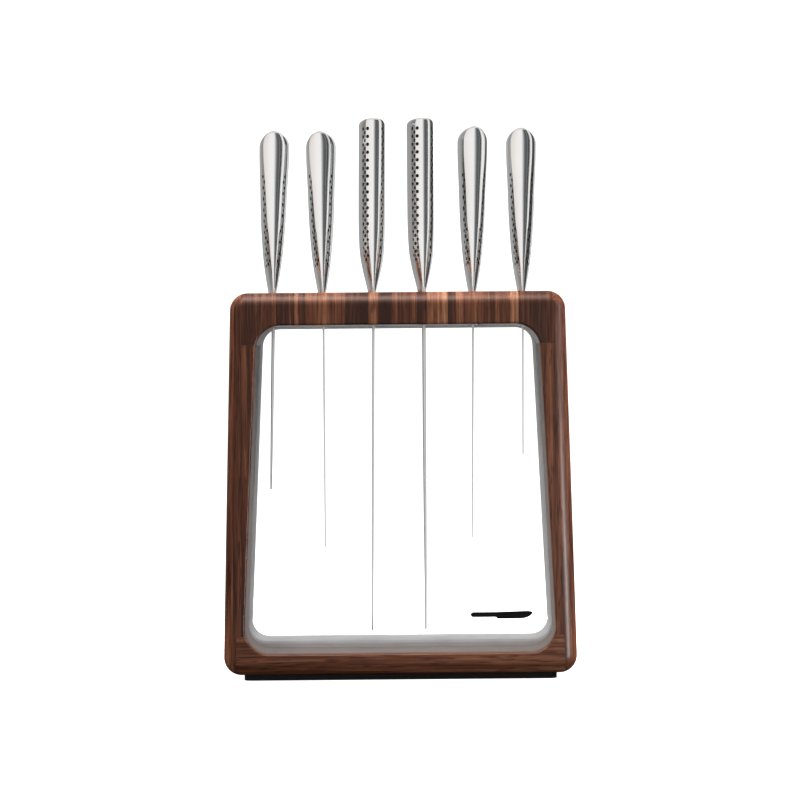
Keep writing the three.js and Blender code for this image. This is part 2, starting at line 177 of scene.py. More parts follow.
LEAST_HALF_WIDTH = {"face": 0.2, "handle": 0.3}  # what is left of them at the very top
HANDLE_STEPS = {"length": 56, "butt": 20, "face": 7, "knee": 3, "flank": 4, "belly": 22}
HANDLE_WALL = 1.2
HOLLOW_START = 16  # how far above the block the hollow of a handle begins

# Mouth is how far a dimple's cutter stands out of the skin, depth is a share of the radius, and floor
# is the radius that is left at its deepest place.
DIMPLE = {"radius": 1.15, "chamfer": 0.1, "sides": 14, "mouth": 0.8, "depth": 0.7, "floor": 0.12}
DIMPLE_CLEARANCE = 1.3  # least way from the edge of a face that curves away under a dimple

# Places of a blade above its heel: how far above it the spine and the edge are, and how much deeper
# the blade is there than its neck. The last place is measured from the blade's full depth instead.
TANG_RIBS = [(15, 15, -2), (3, 3, 0), (1.5, 1, 2.5)]
HEEL_RIB = (0.7, 0.6, -2)

# The bread knife. Its tip is as long as a share of its depth, and the spine and the edge end there at
# shares of its depth.
TOOTH = {"length": 6, "depth": 1.2, "steps": 6, "fullness": 0.8}
BLUNT_TIP = {"length": 0.35, "spine": 0.6, "edge": 0.66, "rise": 0.4}

# The other blades, in places given as (share of the depth, share of the way down to the tip). The
# edge is straight at first, the spine bends a little lower, and both are pulled towards a point.
POINTED = {
    "straight": 0.42,
    "bend": (0, 0.62),
    "bend_share": 0.4,
    "edge_pull": (0.95, 0.8),
    "spine_pull": (0.02, 0.85),
    "tip": (0.22, 1),
    "tip_half": 0.15,
    "tip_rise": 0.1,
}

# Half a section of a blade, from the spine to the edge: how far across, and how thick, as shares.
# The tang is full and the rest is ground. Taper is the share of its thickness lost down to the tip.
FULL_SECTION = [(0, 0.62), (0.012, 0.9), (0.03, 1), (0.42, 1), (0.93, 0.9), (1, 0.6)]
GROUND_SECTION = [(0, 0.62), (0.012, 0.9), (0.03, 1), (0.42, 0.92), (0.93, 0.3), (1, 0.07)]
FULL_ABOVE_HEEL = 1
BLADE_TAPER = 0.45

# A printed mark on the front window: a small knife seen from its side. Neck is the share of its
# length that is handle, drop is how far its edge hangs below, heel is how far the step down slants,
# and belly and nose are how far from the tip its edge and its back begin to curve.
MARK = {
    "left": 49,
    "right": 89,
    "height": 43,
    "blade": 4.6,
    "handle": 3.4,
    "neck": 0.38,
    "drop": 0.6,
    "heel": 1,
    "belly": 9,
    "nose": 3,
    "gap": 0.005,
    "thickness": 0.06,
}

# The camera, in metres and degrees. Distance is from the front of the block.
CAMERA = {"x": -0.0018, "distance": 1.8, "height": 0.196, "lens": 121.3}
CAMERA_TURN = {"pan": -0.093, "tilt": 0.27, "roll": -0.5}

FLOOR = {"reach": 4000, "thickness": 20}


# ---- Mesh helpers ----


def make_piece(name, points, faces, *materials):
    mesh = bpy.data.meshes.new(name)
    mesh.from_pydata([Vector(point) * MM for point in points], [], faces)
    for material in materials:
        mesh.materials.append(material)
    piece = bpy.data.objects.new(name, mesh)
    bpy.context.scene.collection.objects.link(piece)
    return piece


def loft_faces(ring_count, size, closed=False):
    """Quads between rings of the same size. Closed joins the last ring to the first one."""
    faces = []
    for ring in range(ring_count if closed else ring_count - 1):
        below = ring * size
        above = (ring + 1) % ring_count * size
        for i in range(size):
            j = (i + 1) % size
            faces.append((below + i, below + j, above + j, above + i))
    return faces


def loft(name, rings, *materials):
    """A closed skin over rings that run counterclockwise when seen from the last ring."""
    size = len(rings[0])
    points = [point for ring in rings for point in ring]
    faces = loft_faces(len(rings), size)
    last = (len(rings) - 1) * size
    faces.append(tuple(reversed(range(size))))
    faces.append(tuple(range(last, last + size)))
    return make_piece(name, points, faces, *materials)


def apply_modifiers(piece):
    graph = bpy.context.evaluated_depsgraph_get()
    mesh = bpy.data.meshes.new_from_object(piece.evaluated_get(graph))
    piece.modifiers.clear()
    piece.data = mesh


def carve(piece, operation, *cutters):
    """Cuts the cutters out of a piece, or keeps only what it shares with them."""
    for cutter in cutters:
        modifier = piece.modifiers.new("carve", "BOOLEAN")
        modifier.solver = "MANIFOLD"
        modifier.operation = operation
        modifier.object = cutter
    apply_modifiers(piece)
    for cutter in cutters:
        bpy.data.objects.remove(cutter)
    return piece


def copy_piece(piece, name):
    twin = bpy.data.objects.new(name, piece.data.copy())
    bpy.context.scene.collection.objects.link(twin)
    return twin


def smooth(piece, angle=30, weighted=True):
    """Smooth shading with crisp edges above an angle, and flat faces that stay flat."""
    piece.data.shade_smooth()
    piece.data.set_sharp_from_angle(angle=math.radians(angle))
    if weighted:
        modifier = piece.modifiers.new("flat faces", "WEIGHTED_NORMAL")
        modifier.keep_sharp = True
    return piece


def make_box(name, low, high, *materials):
    corners = [(low[0], low[1]), (high[0], low[1]), (high[0], high[1]), (low[0], high[1])]
    rings = [[(x, y, z) for x, y in corners] for z in (low[2], high[2])]
    return loft(name, rings, *materials)


def prism_along_y(name, outline, start, end, *materials):
    """An outline in X and Z, counterclockwise from the front, carried along Y."""
    rings = [[(x, y, z) for x, z in outline] for y in (end, start)]
    return loft(name, rings, *materials)


def spread(count):
    """Count + 1 values from 0 to 1."""
    return [step / count for step in range(count + 1)]


def angles_round(count):
    """Evenly spaced angles, once round."""
    return [step / count * 2 * math.pi for step in range(count)]


# ---- Outlines ----


def rounded_polygon(corners, radius, steps):
    """A counterclockwise polygon in X and Z with every corner rounded."""
    points = []
    for index, corner in enumerate(corners):
        before = (corners[index - 1] - corner).normalized()
        after = (corners[(index + 1) % len(corners)] - corner).normalized()
        half_angle = before.angle(after) / 2
        inward = (before + after).normalized()
        centre = corner + inward * (radius / math.sin(half_angle))
        turn = math.pi - 2 * half_angle
        middle = math.atan2(-inward.y, -inward.x)
        for share in spread(steps):
            angle = middle + turn * (share - 0.5)
            points.append((centre.x + radius * math.cos(angle), centre.y + radius * math.sin(angle)))
    return points


def half_width_at(form, height):
    slope = (form["half_high"] - form["half_low"]) / (form["high"] - form["low"])
    return form["half_low"] + slope * (height - form["low"])


def tapered_outline(form, grow):
    """The outline of the block or its opening, moved outwards by grow."""
    low = form["low"] - grow
    high = form["high"] + grow
    half_low = half_width_at(form, low) + grow
    half_high = half_width_at(form, high) + grow
    corners = [
        Vector((-half_low, low)),
        Vector((half_low, low)),
        Vector((half_high, high)),
        Vector((-half_high, high)),
    ]
    return rounded_polygon(corners, form["corner"] + grow, ROUNDING_STEPS["corner"])


def swept_ring(name, section, *materials):
    """A body that runs all round the opening. Its section is a loop of (outline, grow, Y)."""
    rings = []
    for form, grow, y in section:
        rings.append([(x, y, z) for x, z in tapered_outline(form, grow)])
    points = [point for ring in rings for point in ring]
    return make_piece(name, points, loft_faces(len(rings), len(rings[0]), closed=True), *materials)


# ---- Wooden frame ----


def frame_section():
    """The frame's section, as a loop of (outline, how far it is moved outwards, Y). The rear half is
    the front half again, with tighter corners round the opening."""
    back = HALF_DEPTH
    inside = back - LIP_DEPTH
    section = [(OPENING, 0, -inside)]
    for share in spread(ROUNDING_STEPS["inner"]):
        angle = share * math.pi / 2
        grow = INNER_ROUND * (1 - math.cos(angle))
        section.append((OPENING, grow, -back + INNER_ROUND * (1 - math.sin(angle))))
    for share in spread(ROUNDING_STEPS["edge"]):
        angle = share * math.pi / 2
        grow = -EDGE_ROUND * (1 - math.sin(angle))
        section.append((OUTSIDE, grow, -back + EDGE_ROUND * (1 - math.cos(angle))))
    mirrored = []
    for outline, grow, y in reversed(section):
        mirrored.append((REAR_OPENING if outline is OPENING else outline, grow, -y))
    return section + mirrored + [(OPENING, REBATE, inside), (OPENING, REBATE, -inside)]


def rail_region(seam, end, gap):
    """The space of a rail: between the side strips, above or below a seam."""
    direction = math.copysign(1, end - seam)
    start = seam + direction * gap
    corners = []
    for height in (start, end) if direction > 0 else (end, start):
        half = half_width_at(OUTSIDE, height) - SIDE_STRIP - gap
        corners.append([(-half, height), (half, height)])
    outline = corners[0] + corners[1][::-1]
    return prism_along_y("cutter", outline, -2 * HALF_DEPTH, 2 * HALF_DEPTH)


def slot_x(index):
    return SLOT_SHIFT + (index - (len(KNIVES) - 1) / 2) * SLOT_PITCH


def slot_cutter(index, chamfer=True):
    """A slot with round ends, flared where it meets the top of the block."""
    x = slot_x(index)
    levels = [(OPENING["high"] - SLOT["reach"], 0), (BLOCK_TOP - SLOT["chamfer"], 0)]
    if chamfer:
        levels.append((BLOCK_TOP + SLOT["chamfer"], 2 * SLOT["chamfer"]))
    radius = SLOT["width"] / 2
    rings = []
    for height, wider in levels:
        ring = []
        for middle, start in ((SLOT["rear"] - radius, 0), (SLOT["front"] + radius, math.pi)):
            for share in spread(12):
                angle = start + share * math.pi
                reach = radius + wider
                ring.append((x + reach * math.cos(angle), middle + reach * math.sin(angle), height))
        rings.append(ring)
    return loft("cutter", rings)


def dowel_cutter(node):
    low, high = box_mm(node)
    middle = (low + high) / 2
    radius = (high.z - low.z) / 2 + DOWEL_PLAY
    rings = []
    for x in (low.x - DOWEL_PLAY, high.x + DOWEL_PLAY):
        ring = []
        for angle in angles_round(24):
            ring.append((x, middle.y + radius * math.cos(angle), middle.z + radius * math.sin(angle)))
        rings.append(ring)
    return loft("cutter", rings)


def finish_wood(piece, node, material):
    piece.data.materials.clear()
    piece.data.materials.append(material)
    smooth(piece)
    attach(piece, "block")
    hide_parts(node)


def make_wood():
    body = swept_ring("frame", frame_section())
    cutters = [slot_cutter(index) for index in range(len(KNIVES))]
    cutters += [dowel_cutter(node) for node in frame["nodes"] if node.endswith("_dowel")]
    carve(body, "DIFFERENCE", *cutters)
    high = BLOCK_TOP + PAST_ENDS
    low = -PAST_ENDS
    top = copy_piece(body, "walnut_top_rail")
    carve(top, "INTERSECT", rail_region(UPPER_SEAM, high, SEAM / 2))
    bottom = copy_piece(body, "walnut_bottom_rail")
    carve(bottom, "INTERSECT", rail_region(LOWER_SEAM, low, SEAM / 2))
    rails = (rail_region(UPPER_SEAM, high, -SEAM / 2), rail_region(LOWER_SEAM, low, -SEAM / 2))
    left = carve(body, "DIFFERENCE", *rails)
    right = copy_piece(left, "walnut_right_leg")
    wide = PAST_SIDES
    carve(right, "DIFFERENCE", make_box("cutter", (-wide, -wide, low), (0, wide, high)))
    carve(left, "DIFFERENCE", make_box("cutter", (0, -wide, low), (wide, wide, high)))
    left.name = "walnut_left_leg"
    finish_wood(top, "top_rail", laminated_walnut())
    # The bottom rail's walnut is lifted a little lighter all over, a painted sheen.
    finish_wood(bottom, "bottom_rail", walnut("walnut_across", "X", lambda nodes: 0.03))
    leg_wood = walnut("walnut_upright", "Z")
    finish_wood(left, "left_leg", leg_wood)
    finish_wood(right, "right_leg", leg_wood)


# ---- Linings, windows and feet ----


def lining_ring(name, node, material, hollow, inset, step=LINING_BEVEL):
    """A ring round the inside of the frame. Step is the bevel along its front edge."""
    low, high = box_mm(node)
    outer = REBATE - LINING_GAP
    section = [
        (hollow, inset + step, low.y),
        (OPENING, outer, low.y),
        (OPENING, outer, high.y),
        (hollow, inset + LINING_BEVEL, high.y),
        (hollow, inset, high.y - LINING_BEVEL),
        (hollow, inset, low.y + step),
    ]
    piece = swept_ring(name, section, material)
    slots = [slot_cutter(index, chamfer=False) for index in range(len(KNIVES))]
    return carve(piece, "DIFFERENCE", *slots)


def finish_lining(piece, node):
    smooth(piece)
    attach(piece, "block")
    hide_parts(node)


def make_linings():
    taupe = satin_plastic("taupe_lining", (0.38, 0.3, 0.27))
    grey = satin_plastic("grey_lining", (0.7, 0.7, 0.7))
    # The ceiling's paler grey is painted light: a lighter copy of the lining, for the light that the
    # downward-facing ceiling gets too little of.
    pale = satin_plastic("ceiling_grey_painted_light", (0.85, 0.85, 0.86))
    front = lining_ring("taupe_front_lining", "front_lining", taupe, OPENING, LINING_INSET["front"])
    ceiling = copy_piece(front, "grey_ceiling_lining")
    ceiling.data.materials[0] = pale
    wide = PAST_SIDES
    joint = box_mm("front_lining")[1].z
    above = box_mm("ceiling_lining")[0].z
    carve(front, "DIFFERENCE", make_box("cutter", (-wide, -wide, joint), (wide, wide, wide + joint)))
    carve(ceiling, "INTERSECT", make_box("cutter", (-wide, -wide, above), (wide, wide, wide + above)))
    finish_lining(front, "front_lining")
    finish_lining(ceiling, "ceiling_lining")
    raised = dict(REAR_OPENING, low=REAR_OPENING["low"] + REAR_FLOOR)
    inset = LINING_INSET["rear"]
    rear = lining_ring("grey_rear_lining", "rear_lining", grey, raised, inset, STEP_BEVEL)
    finish_lining(rear, "rear_lining")


def mark_outline():
    """Round the end of the handle, down to the edge, round the tip and back along the top."""
    left, right, height = MARK["left"], MARK["right"], MARK["height"]
    neck = left + MARK["neck"] * (right - left)
    half = MARK["handle"] / 2
    edge = height - MARK["blade"] / 2 - MARK["drop"]
    outline = []
    for share in spread(10):
        angle = math.pi * (0.5 + share)
        outline.append((left + half * math.cos(angle), height + half * math.sin(angle)))
    outline.append((neck, height - half))
    outline.append((neck + MARK["heel"], edge))
    for share in spread(8):
        angle = share * math.pi / 2
        rise = (1 - math.cos(angle)) * MARK["blade"]
        outline.append((right - MARK["belly"] + MARK["belly"] * math.sin(angle), edge + rise))
    outline.append((right - MARK["nose"], height + MARK["blade"] / 2))
    outline.append((neck, height + half))
    return outline


def make_mark():
    """A plain printed knife on the lower right of the front window."""
    face = box_mm("front_window")[0].y
    black = foot_rubber("mark_black")
    front = face - MARK["thickness"]
    mark = prism_along_y("printed_mark", mark_outline(), front, face - MARK["gap"], black)
    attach(mark, "block")


def dress_node(node, material, bevel=0.0):
    piece = frame["nodes"][node]
    piece.data.materials.clear()
    piece.data.materials.append(material)
    if bevel:
        modifier = piece.modifiers.new("soft edges", "BEVEL")
        modifier.width = bevel * MM
        modifier.segments = 3
        modifier.limit_method = "ANGLE"


def dress_cad_nodes():
    window = clear_acrylic()
    for node in ("front_window", "rear_window"):
        dress_node(node, window)
    rubber = foot_rubber()
    for node in ("front_foot_strip", "rear_foot_strip"):
        dress_node(node, rubber, bevel=FOOT_BEVEL)
    beech = plain_beech()
    sand = quartz_sand()
    for node in frame["nodes"]:
        if node.endswith("_dowel"):
            dress_node(node, beech)
        if node.endswith("_sand_fill"):
            dress_node(node, sand)


# ---- Knives ----


def knife_matrix(name):
    """Where a knife stands: its slot, its lean from the joint's axis and its turn in the slot."""
    index = list(KNIVES).index(name)
    axis = next(joint["axis"] for joint in frame["joints"] if joint["child"] == name)
    lean = Matrix.Rotation(math.atan2(axis[0], axis[2]), 4, "Y")
    turn = Matrix.Rotation(math.radians(KNIVES[name]["yaw"]), 4, "Z")
    return Matrix.Translation((slot_x(index), KNIFE_AXIS_Y, BLOCK_TOP)) @ lean @ turn


def knife_length(name):
    """How far a knife rises above the block's top and reaches below it."""
    lean = knife_matrix(name).to_3x3().col[2].z
    rise = (box_mm(name + "_left_shell")[1].z - BLOCK_TOP) / lean - BUTT_INSET
    reach = (BLOCK_TOP - box_mm(name + "_blade")[0].z) / lean
    return rise, reach


def smooth_step(low, slope_low, high, slope_high, t):
    """A cubic curve between two values, with its slope at either end."""
    start = (2 * t**3 - 3 * t**2 + 1) * low + (t**3 - 2 * t**2 + t) * slope_low
    end = (3 * t**2 - 2 * t**3) * high + (t**3 - t**2) * slope_high
    return start + end


def section_at(handle, height):
    """Face, half width and depth at a height, on a smooth curve through the stations."""
    stations = handle["stations"]
    if height <= stations[0][0]:
        return stations[0][1:]
    if height >= stations[-1][0]:
        return stations[-1][1:]
    upper = next(i for i, station in enumerate(stations) if station[0] >= height)
    low, high = stations[upper - 1], stations[upper]
    before = stations[max(upper - 2, 0)]
    after = stations[min(upper + 1, len(stations) - 1)]
    span = high[0] - low[0]
    t = (height - low[0]) / span
    sizes = []
    for part in (1, 2, 3):
        slope_low = (high[part] - before[part]) / (high[0] - before[0]) * span
        slope_high = (after[part] - low[part]) / (after[0] - low[0]) * span
        if after is high:
            slope_high = 0
        sizes.append(smooth_step(low[part], slope_low, high[part], slope_high, t))
    return sizes


def end_inset(radius, below):
    """How far a rounded end has drawn a section in, at a distance below the top end."""
    if below >= radius:
        return 0
    return radius - math.sqrt(max(radius**2 - (radius - below) ** 2, 0))


def handle_measures(handle, height, top, wall=0.0):
    """Half widths of the face and the handle, then the front, the widest place and the rear."""
    butt = handle["butt"]
    face, half, depth = section_at(handle, height)
    below = top - height
    closing = 1 - end_inset(butt["across"], below) / half
    front = wall + end_inset(butt["front"], below)
    rear = depth - wall - end_inset(butt["rear"], below)
    widest = front + WIDEST * (rear - front)
    face = max(face * closing - wall, LEAST_HALF_WIDTH["face"])
    half = max(half * closing - wall, LEAST_HALF_WIDTH["handle"])
    return face, half, front, widest, rear


def half_section(measures):
    """The right side of a section, from the spine line over the face and its knee to the widest
    place. X is to the right and Y back from the spine line."""
    face, half, front, widest, _ = measures
    points = []
    for share in spread(HANDLE_STEPS["face"]):
        points.append(Vector((face * share, front + FACE_SAG * face * share**2)))
    corner = points[-1]
    knee = Vector((face + KNEE["across"] * (half - face), corner.y + KNEE["back"] * (widest - corner.y)))
    points += [corner.lerp(knee, share) for share in spread(HANDLE_STEPS["knee"])[1:]]
    points += [knee.lerp(Vector((half, widest)), share) for share in spread(HANDLE_STEPS["flank"])[1:]]
    return points


def turned(knife, point, height, top):
    """A point of a section, turned with its handle about a line behind the spine."""
    neck, butt = (math.radians(angle) for angle in knife["turn"])
    neck *= min(1 + height / NECK_DROP, 1)
    angle = neck + (butt - neck) * max(height, 0) / top
    shift = -TURN_DEPTH * math.sin(neck)
    arm = Vector((point.x, point.y - TURN_DEPTH))
    arm.rotate(Matrix.Rotation(angle, 2))
    return Vector((shift + arm.x, BLADE_FRONT + TURN_DEPTH + arm.y, height))


def handle_ring(knife, height, top, wall):
    """A section of a handle: its left side, its right side and its round belly."""
    measures = handle_measures(HANDLES[knife["handle"]], height, top, wall)
    _, half, _, widest, rear = measures
    right = half_section(measures)
    left = [Vector((-point.x, point.y)) for point in reversed(right[1:])]
    belly = []
    for share in spread(HANDLE_STEPS["belly"])[1:-1]:
        angle = share * math.pi
        belly.append(Vector((half * math.cos(angle), widest + (rear - widest) * math.sin(angle))))
    return [turned(knife, point, height, top) for point in left + right + belly]


def handle_skin(name, knife, start, top, wall=0.0):
    """The skin of a handle, from a starting height to its domed butt."""
    rounded = HANDLES[knife["handle"]]["butt"]["rear"]
    straight_top = top - rounded
    heights = [start + (straight_top - start) * share for share in spread(HANDLE_STEPS["length"])]
    for share in spread(HANDLE_STEPS["butt"])[1:]:
        heights.append(straight_top + rounded * math.sin(share * math.pi / 2))
    return loft(name, [handle_ring(knife, height, top, wall) for height in heights])


def skin_place(outline, distance):
    """The point at a distance along a half section, and the way out of the skin there."""
    for start, end in zip(outline, outline[1:]):
        step = (end - start).length
        if distance <= step:
            along = (end - start) / step
            return start + along * distance, Vector((along.y, -along.x))
        distance -= step
    return outline[-1], Vector((1, 0))


def dimple_places(knife, top):
    """Where the dimples of a handle are: points on its skin, and the way out of the skin there."""
    handle = HANDLES[knife["handle"]]
    places = []
    for side, columns in ((-1, handle["left"]), (1, handle["right"])):
        for distance, start, end in columns:
            for number in range(int((start - end) / handle["pitch"]) + 1):
                height = start - number * handle["pitch"]
                measures = handle_measures(handle, height, top)
                if handle is HANDLES["round"] and distance < measures[0] + DIMPLE_CLEARANCE:
                    continue
                point, outward = skin_place(half_section(measures), distance)
                centre = turned(knife, Vector((side * point.x, point.y)), height, top)
                ahead = Vector((side * (point.x + outward.x), point.y + outward.y))
                places.append((centre, turned(knife, ahead, height, top) - centre))
    return places


def dimple_profile():
    """Pairs of (how far outside the skin, width) from the mouth of a dimple to its floor."""
    radius = DIMPLE["radius"]
    chamfer = DIMPLE["chamfer"]
    profile = [(DIMPLE["mouth"], radius + chamfer), (0, radius + chamfer), (-chamfer, radius)]
    for share in spread(5)[1:]:
        angle = share * math.pi / 2
        width = max(radius * math.cos(angle), DIMPLE["floor"])
        profile.append((-chamfer - DIMPLE["depth"] * radius * math.sin(angle), width))
    return profile


def dimple_cutters(knife, top):
    """One object that holds a small round-nosed cutter for every dimple of a handle. Everything
    below the skin is painted, in the second material."""
    profile = dimple_profile()
    sides = DIMPLE["sides"]
    points = []
    faces = []
    painted = []
    for centre, outward in dimple_places(knife, top):
        turn = outward.to_track_quat("Z", "Y").to_matrix()
        base = len(points)
        for reach, width in profile:
            for angle in angles_round(sides):
                arm = Vector((width * math.cos(angle), width * math.sin(angle), reach))
                points.append(centre + turn @ arm)
        for number, quad in enumerate(loft_faces(len(profile), sides)):
            faces.append(tuple(base + i for i in reversed(quad)))
            painted.append(number >= sides)
        last = base + (len(profile) - 1) * sides
        faces.append(tuple(range(base, base + sides)))
        faces.append(tuple(reversed(range(last, last + sides))))
        painted += [False, True]
    cutter = make_piece("cutter", points, faces)
    for polygon, is_painted in zip(cutter.data.polygons, painted):
        polygon.material_index = int(is_painted)
    return cutter


def place_knife_part(piece, name, slot, *nodes):
    """Moves a part from its knife's own place to the knife's place in the block."""
    piece.data.transform(Matrix.Scale(MM, 4) @ knife_matrix(name) @ Matrix.Scale(1 / MM, 4))
    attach(piece, name)
    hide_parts(*nodes)


def make_handle(name, steel, paint):
    knife = KNIVES[name]
    rise, _ = knife_length(name)
    piece = handle_skin(name + "_handle", knife, -NECK_DROP, rise)
    hollow = handle_skin("cutter", knife, HOLLOW_START, rise - HANDLE_WALL, HANDLE_WALL)
    dimples = dimple_cutters(knife, rise)
    for part in (piece, hollow, dimples):
        part.data.materials.append(steel)
        part.data.materials.append(paint)
    carve(piece, "DIFFERENCE", dimples, hollow)
    smooth(piece, weighted=False)
    place_knife_part(piece, name, "handle_steel", name + "_left_shell", name + "_right_shell")


def quadratic(start, control, end, t):
    return start * (1 - t) ** 2 + control * 2 * t * (1 - t) + end * t**2


def level_rib(height, depth):
    """A pair of points across a blade: on its spine and on its edge."""
    return Vector((0, height)), Vector((depth, height))


def tang_ribs(depth):
    """From the tang down to the heel, where the blade gets its full depth."""
    places = [(spine, edge, NECK_DEPTH + deeper) for spine, edge, deeper in TANG_RIBS]
    places.append((HEEL_RIB[0], HEEL_RIB[1], depth + HEEL_RIB[2]))
    return [(Vector((0, -HEEL + spine)), Vector((out, -HEEL + edge))) for spine, edge, out in places]


def bread_ribs(depth, reach):
    """A scalloped edge, and a blunt tip that rounds down from the spine."""
    last = BLUNT_TIP["length"] * depth - reach
    teeth = int((-HEEL - last) / TOOTH["length"])
    steps = TOOTH["steps"]
    ribs = []
    for number in range(teeth * steps + 1):
        share = number % steps / steps
        height = -HEEL - number * TOOTH["length"] / steps
        scallop = TOOTH["depth"] * math.sin(share * math.pi) ** TOOTH["fullness"]
        ribs.append(level_rib(height, depth - scallop))
    spine_start, edge_start = ribs[-1]
    spine_end = Vector((BLUNT_TIP["spine"] * depth, -reach + BLUNT_TIP["rise"]))
    edge_end = Vector((BLUNT_TIP["edge"] * depth, -reach))
    for t in spread(12)[1:]:
        spine = quadratic(spine_start, Vector((0, -reach)), spine_end, t)
        ribs.append((spine, edge_start.lerp(edge_end, t)))
    return ribs


def pointed_ribs(depth, reach):
    """A straight edge that curves up to the tip, under a spine that falls to it."""

    def place(key):
        across, down = POINTED[key]
        return Vector((across * depth, -down * reach))

    straight = -POINTED["straight"] * reach
    ribs = [level_rib(-HEEL + (straight + HEEL) * t, depth) for t in spread(10)]
    spine_start, edge_start = level_rib(straight, depth)
    tip = place("tip")
    bend = place("bend")
    bend_share = POINTED["bend_share"]
    for t in spread(30)[1:]:
        if t < bend_share:
            spine = spine_start.lerp(bend, t / bend_share)
        else:
            spine = quadratic(bend, place("spine_pull"), tip, (t - bend_share) / (1 - bend_share))
        ribs.append((spine, quadratic(edge_start, place("edge_pull"), tip, t)))
    aside = Vector((POINTED["tip_half"], 0))
    end = tip + Vector((0, POINTED["tip_rise"]))
    ribs[-1] = (end - aside, end + aside)
    return ribs


def blade_ring(spine, edge, half, section):
    """A section of a blade: its right side from spine to edge, and its left side back again."""
    ring = []
    for side, places in ((1, section), (-1, section[::-1])):
        for share, thickness in places:
            point = spine.lerp(edge, share)
            ring.append((side * half * thickness, BLADE_FRONT + point.x, point.y))
    return ring


def make_blade(name, steel):
    knife = KNIVES[name]
    _, reach = knife_length(name)
    lower_ribs = bread_ribs if name == "bread_knife" else pointed_ribs
    rings = []
    for spine, edge in tang_ribs(knife["depth"]) + lower_ribs(knife["depth"], reach):
        taper = 1 - BLADE_TAPER * max(-spine.y, 0) / reach
        section = FULL_SECTION if spine.y > -HEEL + FULL_ABOVE_HEEL else GROUND_SECTION
        rings.append(blade_ring(spine, edge, knife["spine"] / 2 * taper, section))
    piece = loft(name + "_ground_blade", rings[::-1], steel)
    smooth(piece, angle=8, weighted=False)
    place_knife_part(piece, name, "blade_steel", name + "_blade")


def make_knives():
    steel = satin_steel("handle_steel", 0.15)
    blade = satin_steel("blade_steel", 0.42)
    paint = dimple_black()
    for name in KNIVES:
        make_handle(name, steel, paint)
        make_blade(name, blade)


# ---- Materials ----


class Nodes:
    """A small helper that adds shader nodes and links them."""

    def __init__(self, name="", tree=None):
        if tree:
            self.tree = tree
            return
        self.material = bpy.data.materials.new(name)
        self.material.use_nodes = True
        self.tree = self.material.node_tree
        self.shader = self.tree.nodes["Principled BSDF"]

    def fill(self, socket, value):
        """Links a socket to another one, or gives it a plain value."""
        if isinstance(value, bpy.types.NodeSocket):
            self.tree.links.new(value, socket)
        else:
            socket.default_value = value

    def add(self, kind, inputs=None, **settings):
        node = self.tree.nodes.new(kind)
        for key, value in settings.items():
            setattr(node, key, value)
        for key, value in (inputs or {}).items():
            self.fill(node.inputs[key], value)
        return node

    def surface(self, **inputs):
        for key, value in inputs.items():
            self.fill(self.shader.inputs[key.replace("_", " ")], value)

    def math(self, operation, first, second=0.5, third=0.0):
        return self.add("ShaderNodeMath", {0: first, 1: second, 2: third}, operation=operation).outputs[0]

    def mix(self, factor, first, second, blend_type="MIX"):
        node = self.add("ShaderNodeMix", data_type="RGBA", blend_type=blend_type)
        colours = [socket for socket in node.inputs if socket.type == "RGBA"]
        self.fill(node.inputs["Factor"], factor)
        self.fill(colours[0], first)
        self.fill(colours[1], second)
        return next(socket for socket in node.outputs if socket.type == "RGBA")

    def noise(self, scale, detail=2.0, roughness=0.5, distortion=0.0, offset=(0, 0, 0)):
        """Noise over the piece, with its own frequency per metre along X, Y and Z."""
        place = self.add("ShaderNodeTexCoord").outputs["Object"]
        mapped = self.add("ShaderNodeMapping", {"Vector": place, "Scale": scale, "Location": offset})
        inputs = {"Vector": mapped.outputs[0], "Scale": 1.0, "Detail": detail, "Roughness": roughness}
        inputs["Distortion"] = distortion
        return self.add("ShaderNodeTexNoise", inputs).outputs["Fac"]

    def ramp(self, value, stops, interpolation="LINEAR"):
        node = self.add("ShaderNodeValToRGB", {"Fac": value})
        ramp = node.color_ramp
        ramp.interpolation = interpolation
        while len(ramp.elements) < len(stops):
            ramp.elements.new(0.5)
        for element, (position, colour) in zip(ramp.elements, stops):
            element.position = position
            element.color = (*colour, 1) if len(colour) == 3 else colour
        return node.outputs["Color"]

    def shade(self, cloud, dark, light):
        """A colour that wanders from dark to light with a noise."""
        return self.ramp(cloud, [(0.3, dark), (0.7, light)])

    def bump(self, height, strength, distance):
        inputs = {"Height": height, "Strength": strength, "Distance": distance}
        return self.add("ShaderNodeBump", inputs).outputs["Normal"]


def scales(grain, across, along):
    """Noise frequencies per metre for a grain that runs along one axis or more."""
    return tuple(along if axis in grain else across for axis in "XYZ")


